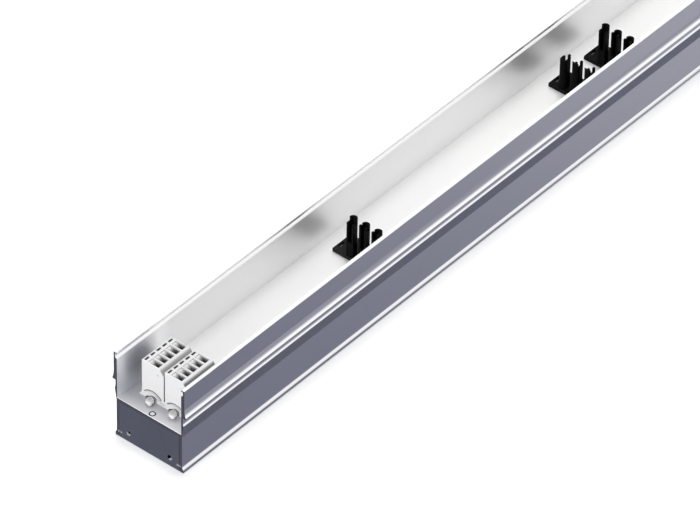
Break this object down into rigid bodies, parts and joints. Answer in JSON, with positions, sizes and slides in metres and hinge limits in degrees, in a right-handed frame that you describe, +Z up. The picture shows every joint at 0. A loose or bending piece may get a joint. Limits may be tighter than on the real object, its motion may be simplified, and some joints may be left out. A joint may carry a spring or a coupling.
{
  "type": "power feed rail",
  "caption": "Extruded aluminium H-section rail with an open wiring channel, end plates, push-in terminal blocks at one end and black cable combs.",
  "frame": {"origin": "centre of the underside", "axes": "+X along the rail, away from the terminal end; +Y across the rail; +Z up, out of the open wiring channel"},
  "size_m": [1, 0.0676, 0.0764],
  "materials": {
    "rail_aluminium": "satin anodised",
    "plate_aluminium": "satin anodised",
    "screw_steel": "zinc plated",
    "terminal_plastic": "moulded, fine grain",
    "comb_plastic": "moulded, fine grain"
  },
  "bodies": {
    "root": {"rail_profile": "rail_aluminium", "end_plate_near": "plate_aluminium", "plate_screw_near": "screw_steel", "end_plate_far": "plate_aluminium", "plate_screw_far": "screw_steel", "terminal_carrier": "terminal_plastic", "terminal_block_1": "terminal_plastic", "fixing_post_1": "screw_steel", "terminal_block_2": "terminal_plastic", "fixing_post_2": "screw_steel", "cable_comb_1": "comb_plastic", "cable_comb_2": "comb_plastic", "cable_comb_3": "comb_plastic", "cable_comb_4": "comb_plastic"}
  },
  "joints": []
}
